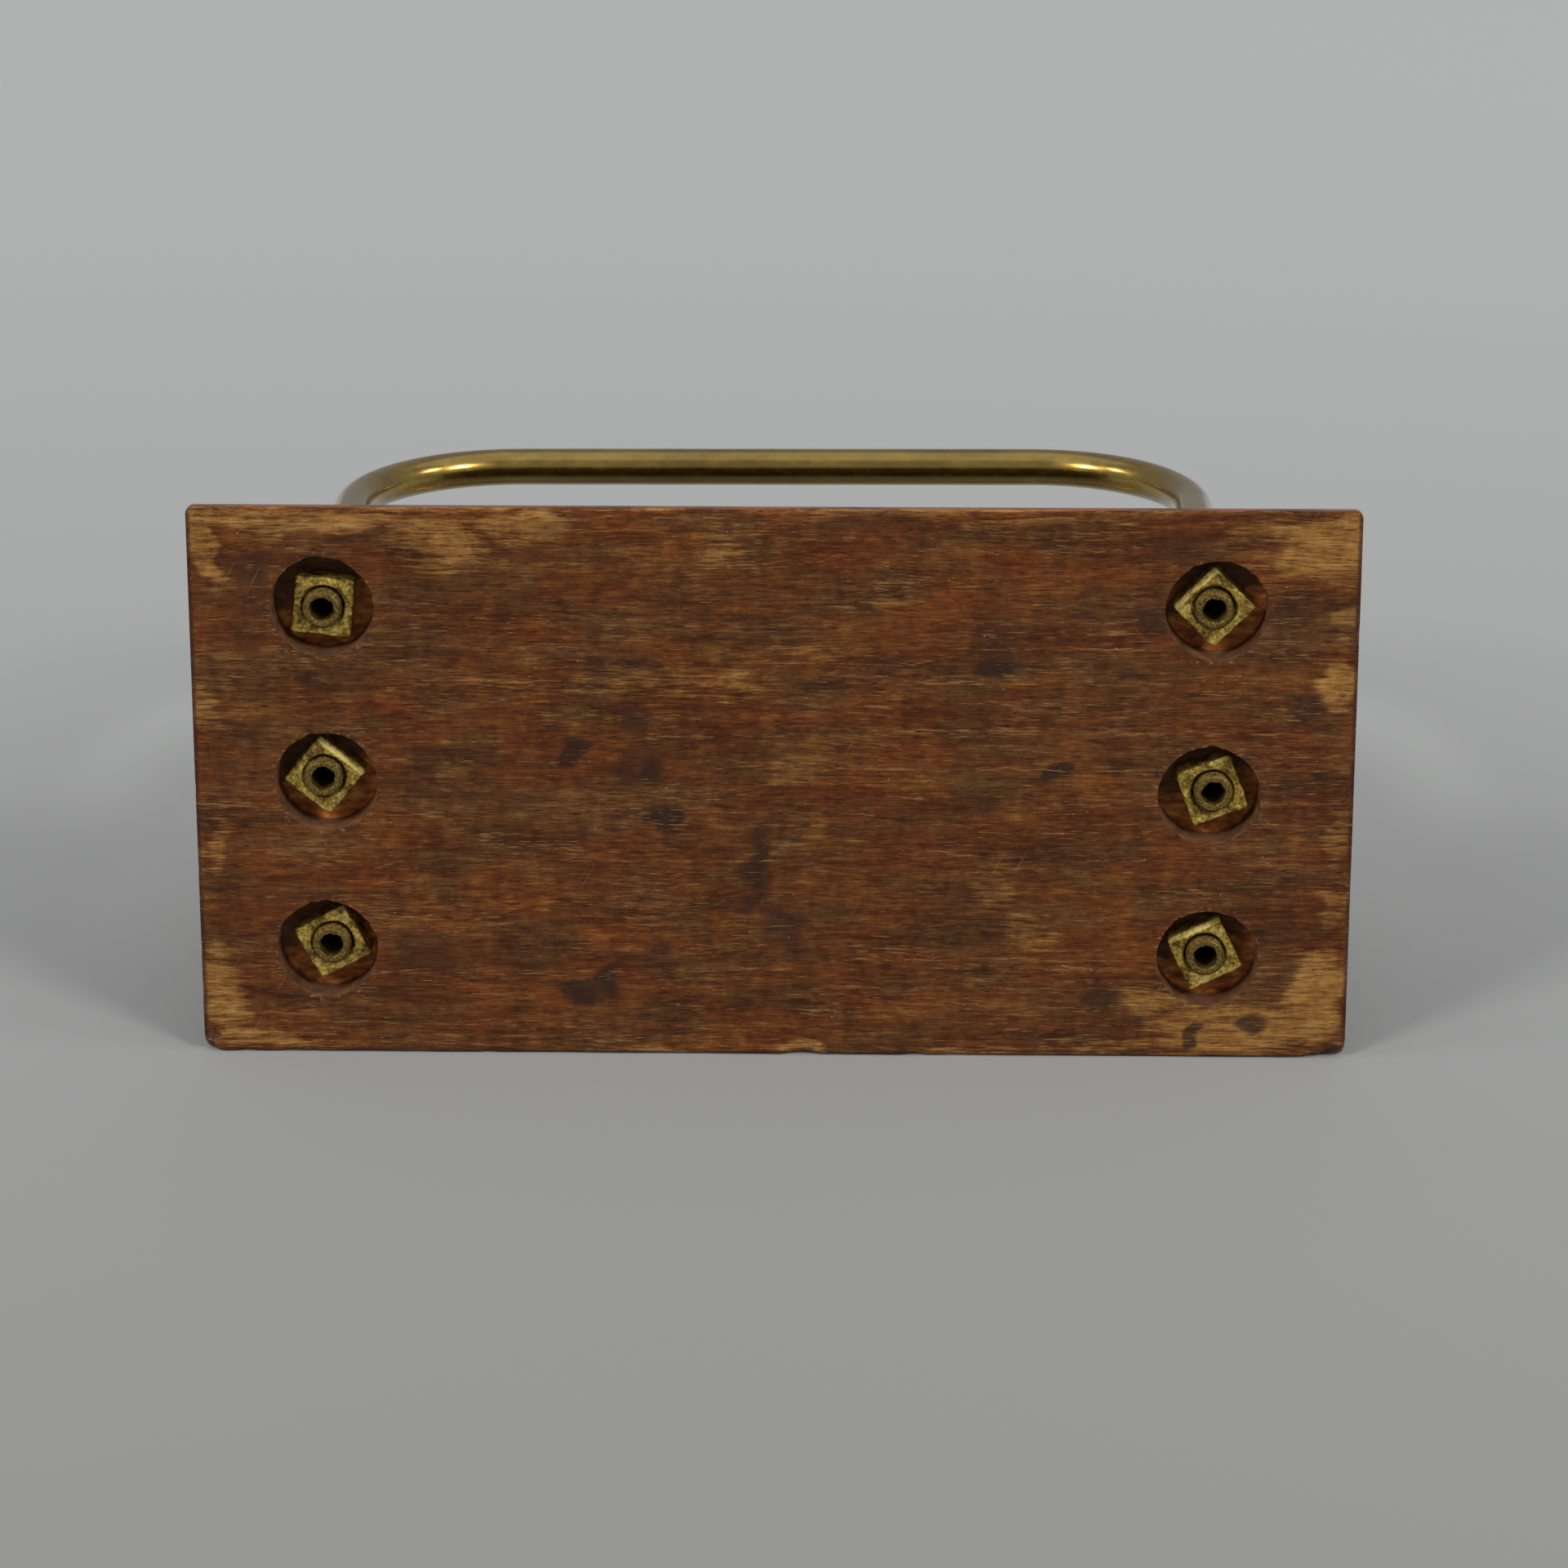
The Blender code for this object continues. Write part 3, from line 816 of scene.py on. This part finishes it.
class Graph:
    """A material's nodes, with one short call for each kind that is used here."""

    def __init__(self, name):
        self.material = bpy.data.materials.new(name)
        self.material.use_nodes = True
        self.tree = self.material.node_tree
        self.shader = self.tree.nodes["Principled BSDF"]

    def link(self, socket, value):
        if isinstance(value, bpy.types.NodeSocket):
            self.tree.links.new(value, socket)
        elif isinstance(value, tuple) and len(value) == 3 and socket.type == "RGBA":
            socket.default_value = (*value, 1)
        else:
            socket.default_value = value

    def attribute(self, name, output="Vector"):
        node = self.tree.nodes.new("ShaderNodeAttribute")
        node.attribute_name = name
        return node.outputs[output]

    def split(self, vector):
        node = self.tree.nodes.new("ShaderNodeSeparateXYZ")
        self.link(node.inputs[0], vector)
        return node.outputs

    def vector(self, operation, a, b):
        node = self.tree.nodes.new("ShaderNodeVectorMath")
        node.operation = operation
        self.link(node.inputs[0], a)
        self.link(node.inputs[1], b)
        return node.outputs[0]

    def math(self, operation, a, b=0.5, clamp=False):
        node = self.tree.nodes.new("ShaderNodeMath")
        node.operation = operation
        node.use_clamp = clamp
        self.link(node.inputs[0], a)
        self.link(node.inputs[1], b)
        return node.outputs[0]

    def noise(self, vector, scale, detail=2.0, rough=0.5, twist=0.0, output="Fac"):
        node = self.tree.nodes.new("ShaderNodeTexNoise")
        self.link(node.inputs["Vector"], self.vector("MULTIPLY", vector, scale))
        self.link(node.inputs["Scale"], 1.0)
        self.link(node.inputs["Detail"], detail)
        self.link(node.inputs["Roughness"], rough)
        self.link(node.inputs["Distortion"], twist)
        return node.outputs[output]

    def weigh(self, *parts, middle=0.5):
        """middle, plus each noise's distance from one half times its weight."""
        total = middle
        for value, weight in parts:
            part = self.math("MULTIPLY", self.math("SUBTRACT", value, 0.5), weight)
            total = self.math("ADD", total, part)
        return total

    def tilt(self, vector, degrees):
        """The same coordinates turned about Z."""
        node = self.tree.nodes.new("ShaderNodeVectorRotate")
        node.rotation_type = "Z_AXIS"
        self.link(node.inputs["Vector"], vector)
        self.link(node.inputs["Angle"], math.radians(degrees))
        return node.outputs[0]

    def cells(self, vector, scale):
        node = self.tree.nodes.new("ShaderNodeTexVoronoi")
        self.link(node.inputs["Vector"], self.vector("MULTIPLY", vector, scale))
        self.link(node.inputs["Scale"], 1.0)
        return node.outputs["Distance"]

    def window(self, value, low, high):
        """0 below low, 1 above high, smooth between; the other way round if low is above high."""
        node = self.tree.nodes.new("ShaderNodeMapRange")
        node.interpolation_type = "SMOOTHSTEP"
        down = low > high
        self.link(node.inputs["Value"], value)
        self.link(node.inputs["From Min"], min(low, high))
        self.link(node.inputs["From Max"], max(low, high))
        self.link(node.inputs["To Min"], 1.0 if down else 0.0)
        self.link(node.inputs["To Max"], 0.0 if down else 1.0)
        return node.outputs["Result"]

    def ramp(self, value, stops):
        node = self.tree.nodes.new("ShaderNodeValToRGB")
        elements = node.color_ramp.elements
        while len(elements) < len(stops):
            elements.new(0.5)
        for element, (position, colour) in zip(elements, stops):
            element.position = position
            element.color = (*colour, 1)
        self.link(node.inputs["Fac"], value)
        return node.outputs["Color"]

    def mix(self, share, a, b, blend="MIX"):
        node = self.tree.nodes.new("ShaderNodeMix")
        node.data_type = "RGBA"
        node.blend_type = blend
        self.link(node.inputs["Factor"], share)
        self.link(node.inputs[6], a)
        self.link(node.inputs[7], b)
        return node.outputs[2]

    def bump(self, height, distance, strength=1.0, normal=None):
        node = self.tree.nodes.new("ShaderNodeBump")
        self.link(node.inputs["Height"], height)
        self.link(node.inputs["Distance"], distance)
        self.link(node.inputs["Strength"], strength)
        if normal is not None:
            self.link(node.inputs["Normal"], normal)
        return node.outputs["Normal"]

    def finish(self, colour, roughness, normal, metallic=0.0, **extra):
        self.link(self.shader.inputs["Base Color"], colour)
        self.link(self.shader.inputs["Roughness"], roughness)
        self.link(self.shader.inputs["Normal"], normal)
        self.link(self.shader.inputs["Metallic"], metallic)
        for name, value in extra.items():
            self.link(self.shader.inputs[name.replace("_", " ")], value)
        return self.material


def wood_grain(g, rack):
    """Shared by both wood finishes: the wandering grain's coordinates and its bands, streaks and fibres."""
    wobble = g.noise(rack, (0.018, 0.05, 0.05), 2.0)
    grain = g.vector("ADD", rack, g.vector("MULTIPLY", g.math("SUBTRACT", wobble, 0.5), (0.0, 2.4, 2.4)))
    bands = g.noise(grain, (0.028, 0.15, 0.15), 4.0, 0.62)
    streaks = g.noise(grain, (0.085, 0.95, 0.95), 5.0, 0.68)
    fibres = g.noise(grain, (0.26, 3.9, 3.9), 3.0, 0.65)
    mottle = g.noise(rack, (0.45, 0.55, 0.55), 5.0, 0.7)
    body = g.weigh((bands, 0.85), (streaks, 0.85), (fibres, 1.05), (mottle, 0.8), middle=0.475)
    return grain, body, streaks, fibres


def bare_mahogany():
    """The underside: reddish wood, bare, stained, and rubbed pale near its edges and corners, with painted
    light and shade inside the counterbores.
    """
    g = Graph("worn_bare_mahogany")
    rack = g.attribute("rack")
    pale, warm, dark = g.split(g.attribute("stain_and_bore_light"))
    inside, _, rim = g.split(g.attribute("cut"))
    grain, body, streaks, fibres = wood_grain(g, rack)

    red = g.ramp(
        body,
        (
            (0.18, (0.066, 0.0165, 0.0045)),
            (0.36, (0.108, 0.0280, 0.0070)),
            (0.50, (0.152, 0.0415, 0.0092)),
            (0.66, (0.200, 0.0620, 0.0130)),
            (0.86, (0.300, 0.1150, 0.0280)),
        ),
    )
    brown = g.ramp(
        body,
        (
            (0.18, (0.046, 0.0180, 0.0066)),
            (0.36, (0.080, 0.0305, 0.0100)),
            (0.50, (0.116, 0.0440, 0.0138)),
            (0.66, (0.165, 0.0690, 0.0200)),
            (0.86, (0.260, 0.1250, 0.0400)),
        ),
    )
    blotches = g.noise(rack, (0.045, 0.13, 0.13), 4.0, 0.62, 0.4)
    bare = g.mix(g.window(blotches, 0.38, 0.62), red, brown)
    apart = g.vector("ADD", rack, (7.0, 2.0, 4.0))
    olive = g.window(g.noise(apart, (0.06, 0.17, 0.17), 4.0, 0.65), 0.54, 0.72)
    bare = g.mix(g.math("MULTIPLY", olive, 0.7), bare, g.mix(1.0, bare, (1.30, 1.62, 1.35), "MULTIPLY"))
    smears = g.noise(rack, (0.22, 0.045, 0.05), 3.0, 0.6)
    tint = g.ramp(smears, ((0.3, (0.80, 0.80, 0.83)), (0.7, (1.17, 1.16, 1.10))))
    bare = g.mix(1.0, bare, tint, "MULTIPLY")
    bare = g.mix(g.math("MULTIPLY", warm, 0.8), bare, g.mix(1.0, bare, (1.42, 1.05, 0.70), "MULTIPLY"))

    ragged = g.weigh((streaks, 1.3), (fibres, 0.7))
    rubbed = g.window(g.math("ADD", pale, g.math("SUBTRACT", ragged, 0.5)), 0.30, 1.05)
    ochre = g.ramp(
        body,
        ((0.22, (0.165, 0.061, 0.0142)), (0.5, (0.360, 0.166, 0.0390)), (0.78, (0.570, 0.305, 0.0900))),
    )
    bare = g.mix(g.math("MULTIPLY", rubbed, 0.9), bare, ochre)
    soiled = g.window(g.math("ADD", dark, g.math("SUBTRACT", ragged, 0.5)), 0.22, 0.90)
    bare = g.mix(g.math("MULTIPLY", soiled, 0.82), bare, (0.026, 0.0145, 0.0115))

    # A darker, purplish band along both ends of the underside.
    reach = g.math("ABSOLUTE", g.split(rack)[0])
    reach = g.math("ADD", reach, g.math("SUBTRACT", ragged, 0.5))
    dark_end_band = g.math("MULTIPLY", g.window(reach, 92.1, 92.7), 0.75)
    bare = g.mix(dark_end_band, bare, (0.042, 0.0110, 0.0125))

    clumps = g.noise(rack, (0.07, 0.15, 0.15), 3.0)
    pores = g.noise(grain, (0.30, 4.2, 4.2), 2.0, 0.6)
    dark_pores = g.math("MULTIPLY", g.window(pores, 0.39, 0.31), 0.8)
    bare = g.mix(dark_pores, bare, (0.034, 0.0125, 0.0070))
    rows = g.noise(g.vector("ADD", grain, (5.0, 3.0, 8.0)), (0.012, 1.3, 1.3), 1.0)
    lines = g.noise(g.vector("ADD", grain, (31.0, 17.0, 5.0)), (0.30, 5.4, 5.4), 2.0, 0.6)
    lined = g.weigh((lines, 1.0), (rows, 0.45), (clumps, 0.35))
    light_lines = g.window(lined, 0.63, 0.72)
    bare = g.mix(g.math("MULTIPLY", light_lines, 0.62), bare, (0.410, 0.215, 0.0700))

    turned = g.vector("ADD", g.tilt(rack, 62), (3.0, 9.0, 1.0))
    scratches = g.window(g.noise(turned, (0.05, 2.6, 0.05), 1.0), 0.72, 0.78)
    scratches = g.math("MULTIPLY", scratches, g.window(g.noise(rack, (0.03, 0.05, 0.05), 2.0), 0.5, 0.62))
    bare = g.mix(g.math("MULTIPLY", scratches, 0.45), bare, (0.330, 0.190, 0.0900))
    specks = g.window(g.cells(rack, (0.35, 0.6, 0.6)), 0.08, 0.03)
    specks = g.math("MULTIPLY", specks, g.window(clumps, 0.5, 0.6))
    bare = g.mix(g.math("MULTIPLY", specks, 0.6), bare, (0.55, 0.42, 0.30))

    flecks = g.math("MULTIPLY", rim, g.window(g.noise(rack, (0.9, 1.5, 1.2), 3.0, 0.6), 0.56, 0.68))
    bare = g.mix(g.math("MULTIPLY", flecks, 0.6), bare, (0.42, 0.26, 0.15))

    scraped = g.noise(rack, (0.35, 0.8, 0.3), 4.0, 0.6)
    # Painted shade and painted light inside the counterbores: a dark brown for their shaded side, a bright
    # orange for their lit side.
    painted_bore_shade = g.ramp(scraped, ((0.36, (0.110, 0.0540, 0.0290)), (0.66, (0.240, 0.1080, 0.0480))))
    lit_bore_wood = g.ramp(
        scraped,
        ((0.36, (0.260, 0.0860, 0.0270)), (0.52, (0.560, 0.1950, 0.0540)), (0.68, (0.820, 0.420, 0.1150))),
    )
    # Inside the counterbores the pale share carries the painted light, which chooses between the shaded
    # colour and the lit colour.
    inner = g.mix(g.window(g.math("ADD", pale, g.math("SUBTRACT", scraped, 0.5)), 0.30, 0.85), painted_bore_shade, lit_bore_wood)
    colour = g.mix(inside, bare, inner)

    rough = g.weigh((fibres, 0.5), (blotches, 0.3), middle=0.62)
    relief = g.math("SUBTRACT", g.weigh((fibres, 0.5), (streaks, 0.5)), g.math("MULTIPLY", dark_pores, 0.6))
    normal = g.bump(relief, 0.00020, 0.7)
    normal = g.bump(g.noise(rack, (0.5, 0.8, 0.8), 4.0, 0.7), 0.00010, 0.5, normal)
    return g.finish(colour, rough, normal, Specular_IOR_Level=0.16)


def polished_mahogany():
    """Mouldings and top face: dark red polish over the same grain, scuffed and rubbed through at edges."""
    g = Graph("polished_mahogany")
    rack = g.attribute("rack")
    _, warm, _ = g.split(g.attribute("stain_and_bore_light"))
    _, body, _, fibres = wood_grain(g, rack)
    colour = g.ramp(
        body,
        (
            (0.20, (0.020, 0.0045, 0.0035)),
            (0.42, (0.052, 0.0105, 0.0060)),
            (0.58, (0.088, 0.0190, 0.0085)),
            (0.80, (0.155, 0.0430, 0.0160)),
        ),
    )
    scuffs = g.noise(rack, (0.35, 0.8, 0.8), 5.0, 0.65)
    worn = g.math("MULTIPLY", g.window(scuffs, 0.60, 0.70), 0.5)
    colour = g.mix(worn, colour, (0.170, 0.068, 0.024))
    height = g.split(rack)[2]
    lip = g.window(g.math("ADD", height, g.math("MULTIPLY", scuffs, -1.6)), 0.0, -0.5)
    colour = g.mix(g.math("MULTIPLY", lip, 0.7), colour, (0.200, 0.082, 0.024))
    handled = g.window(g.math("ADD", warm, g.math("SUBTRACT", scuffs, 0.5)), 0.45, 0.95)
    colour = g.mix(g.math("MULTIPLY", handled, 0.85), colour, (0.300, 0.090, 0.0360))
    rough = g.weigh((scuffs, 0.6), (fibres, 0.2), middle=0.30)
    normal = g.bump(fibres, 0.00003, 0.5)
    normal = g.bump(scuffs, 0.00008, 0.4, normal)
    return g.finish(colour, rough, normal, Coat_Weight=0.25, Coat_Roughness=0.18)


def tube_brass():
    """Drawn tube gone olive: tarnished in clouds, painted darker on the side towards the edge the rack
    stands on as painted shade, dull and granular at its feet.
    """
    g = Graph("aged_tube_brass")
    rack = g.attribute("rack")
    clouds = g.noise(rack, (0.06, 0.12, 0.12), 4.0, 0.6, 0.5)
    mottle = g.noise(rack, (0.35, 0.6, 0.6), 5.0, 0.6)
    hairs = g.noise(rack, (0.2, 8.0, 8.0), 2.0, 0.6)
    tone = g.weigh((clouds, 0.9), (mottle, 0.6), (hairs, 0.06))
    colour = g.ramp(
        tone,
        ((0.2, (0.26, 0.160, 0.026)), (0.5, (0.39, 0.250, 0.040)), (0.8, (0.49, 0.335, 0.064))),
    )
    painted_shade_side = g.attribute("painted_shade_side", "Fac")
    # Painted shade: the tube's side towards the standing edge is darkened to a dark olive brown.
    colour = g.mix(g.math("MULTIPLY", painted_shade_side, 0.45), colour, (0.150, 0.094, 0.022))
    spots = g.window(g.noise(rack, (0.5, 0.8, 0.8), 4.0, 0.7), 0.66, 0.76)
    colour = g.mix(g.math("MULTIPLY", spots, 0.45), colour, (0.17, 0.10, 0.035))
    foot = g.window(g.split(rack)[2], 9.0, 6.0)
    grit = g.noise(rack, (2.8, 2.8, 2.8), 4.0, 0.7)
    dull = g.ramp(
        grit,
        ((0.36, (0.060, 0.033, 0.007)), (0.5, (0.180, 0.112, 0.024)), (0.64, (0.390, 0.265, 0.068))),
    )
    colour = g.mix(foot, colour, dull)
    rough = g.weigh((mottle, 0.2), (hairs, 0.05), (spots, 0.1), middle=0.30)
    rough = g.math("ADD", rough, g.math("MULTIPLY", foot, 0.3))
    metal = g.math("SUBTRACT", 1.0, g.math("MULTIPLY", foot, 0.3))
    coat = g.math("MULTIPLY", g.math("SUBTRACT", 1.0, foot), 0.85)
    normal = g.bump(hairs, 0.000002, 0.3)
    normal = g.bump(g.math("MULTIPLY", grit, foot), 0.00012, 0.8, normal)
    return g.finish(colour, rough, normal, metal, Coat_Weight=coat, Coat_Roughness=0.09, Coat_IOR=1.6)


def nut_brass():
    """Old nut metal: dull olive, granular, dark in its pits, and painted lighter on its filed edges as a
    painted highlight.
    """
    g = Graph("aged_nut_brass")
    rack = g.attribute("rack")
    grit = g.noise(rack, (1.7, 1.7, 1.7), 4.0, 0.75)
    mottle = g.noise(rack, (0.35, 0.35, 0.35), 4.0, 0.65)
    filed_highlight = g.attribute("filed_highlight", "Fac")
    # Painted highlight: the filed edges are painted lighter, for the light that falls on the nuts' sides.
    tone = g.math("ADD", g.weigh((grit, 1.55), (mottle, 1.7), middle=0.43), g.math("MULTIPLY", filed_highlight, 0.34))
    colour = g.ramp(
        tone,
        (
            (0.14, (0.100, 0.058, 0.010)),
            (0.36, (0.330, 0.210, 0.036)),
            (0.56, (0.620, 0.430, 0.080)),
            (0.82, (0.980, 0.800, 0.280)),
        ),
    )
    rough = g.weigh((mottle, -0.6), (grit, 0.3), middle=0.52)
    normal = g.bump(grit, 0.00016, 0.9)
    return g.finish(colour, rough, normal, 0.6)


def collar_brass():
    """Turned brass: fine tool rings and spots of tarnish."""
    g = Graph("aged_collar_brass")
    rack = g.attribute("rack")
    mottle = g.noise(rack, (0.7, 0.7, 0.7), 5.0, 0.65)
    rings = g.noise(rack, (0.15, 0.15, 14.0), 2.0, 0.6)
    colour = g.ramp(
        mottle,
        ((0.34, (0.30, 0.19, 0.05)), (0.5, (0.55, 0.38, 0.11)), (0.66, (0.68, 0.50, 0.18))),
    )
    spots = g.window(g.noise(rack, (1.3, 1.3, 1.3), 3.0, 0.7), 0.62, 0.72)
    colour = g.mix(g.math("MULTIPLY", spots, 0.6), colour, (0.13, 0.08, 0.03))
    rough = g.weigh((mottle, 0.3), (rings, 0.1), middle=0.30)
    normal = g.bump(rings, 0.00002, 0.6)
    return g.finish(colour, rough, normal, 1.0)


def floor_paper():
    g = Graph("studio_floor")
    position = g.tree.nodes.new("ShaderNodeNewGeometry").outputs["Position"]
    # Painted light: the floor's colour grows lighter towards the back, a painted pool of light behind the
    # rack.
    away = g.window(g.split(position)[1], -0.35, 0.6)
    colour = g.mix(away, (0.290, 0.295, 0.292), (0.610, 0.624, 0.624))
    fine = g.noise(position, (900.0, 900.0, 900.0), 2.0)
    return g.finish(colour, 0.85, g.bump(fine, 0.0001, 0.1))


# ---------------------------------------------------------------- studio

LAMP_SIZE = (0.36, 0.36)


def make_floor():
    bm = bmesh.new()
    bmesh.ops.create_circle(bm, cap_ends=True, radius=6.0, segments=96)
    mesh = bpy.data.meshes.new("studio_floor")
    bm.to_mesh(mesh)
    bm.free()
    mesh.materials.append(floor_paper())
    new_object("studio_floor", mesh)


def make_light(name, place_at, size, power, colour, aim):
    data = bpy.data.lights.new(name, "AREA")
    data.shape = "RECTANGLE"
    data.size, data.size_y = size
    data.energy = power
    data.color = colour
    light = new_object(name, data)
    light.location = place_at
    light.rotation_euler = (Vector(aim) - Vector(place_at)).to_track_quat("-Z", "Y").to_euler()


def make_studio():
    """A wide soft ceiling, and a lamp at each side in front and beside the rack."""
    make_floor()
    middle = (cad_bounds[0] + cad_bounds[1]) / 2
    make_light("ceiling", (0.1, 0.3, 1.7), (2.4, 2.0), 5.2, (0.98, 0.99, 1.0), (0.1, 0.3, 0.0))
    for side, power in ((-1, 7.4), (1, 8.0)):
        make_light("front", (side * 0.97, -0.72, 1.08), LAMP_SIZE, power, (1.0, 0.985, 0.955), middle)
    for side, power in ((-1, 2.3), (1, 2.6)):
        make_light("side", (side * 1.3, -0.12, 0.97), LAMP_SIZE, power, (1.0, 0.99, 0.97), middle)
    world = bpy.data.worlds.new("studio")
    bpy.context.scene.world = world
    world.use_nodes = True
    background = world.node_tree.nodes["Background"]
    background.inputs["Color"].default_value = (0.97, 0.985, 1.0, 1)
    background.inputs["Strength"].default_value = 0.29
    bpy.context.scene.view_settings.view_transform = "Standard"


# The camera looks at the underside from above, a little to its right
CAMERA_DISTANCE = 0.8396
CAMERA_ELEVATION = math.radians(27.47)
CAMERA_AZIMUTH = math.radians(1.122)
CAMERA_ROLL = math.radians(-0.21)
CAMERA_LENS = 120.2
AIM_X = 0.0017
AIM_Z = 0.0004


def make_camera():
    aim = Vector(mount["pos_m"]) + Vector((AIM_X, 0, AIM_Z))
    back = Vector(
        (
            math.cos(CAMERA_ELEVATION) * math.sin(CAMERA_AZIMUTH),
            -math.cos(CAMERA_ELEVATION) * math.cos(CAMERA_AZIMUTH),
            math.sin(CAMERA_ELEVATION),
        )
    )
    data = bpy.data.cameras.new("camera")
    data.sensor_width = 36
    data.lens = CAMERA_LENS
    data.clip_start = 0.01
    camera = new_object("camera", data)
    camera.location = aim + back * CAMERA_DISTANCE
    level = (-back).to_track_quat("-Z", "Y").to_matrix()
    camera.rotation_euler = (level @ Matrix.Rotation(CAMERA_ROLL, 3, "Z")).to_euler()
    bpy.context.scene.camera = camera


# ---------------------------------------------------------------- assembly

make_camera()
make_studio()
make_base(bare_mahogany(), polished_mahogany())
tube_metal = tube_brass()
nut_metal = nut_brass()
collar_metal = collar_brass()
for row in ROWS:
    make_hoop(row, tube_metal)
for row, side in LEGS:
    make_nut(row, side, nut_metal)
    make_collar(row, side, collar_metal)

bpy.context.view_layer.update()
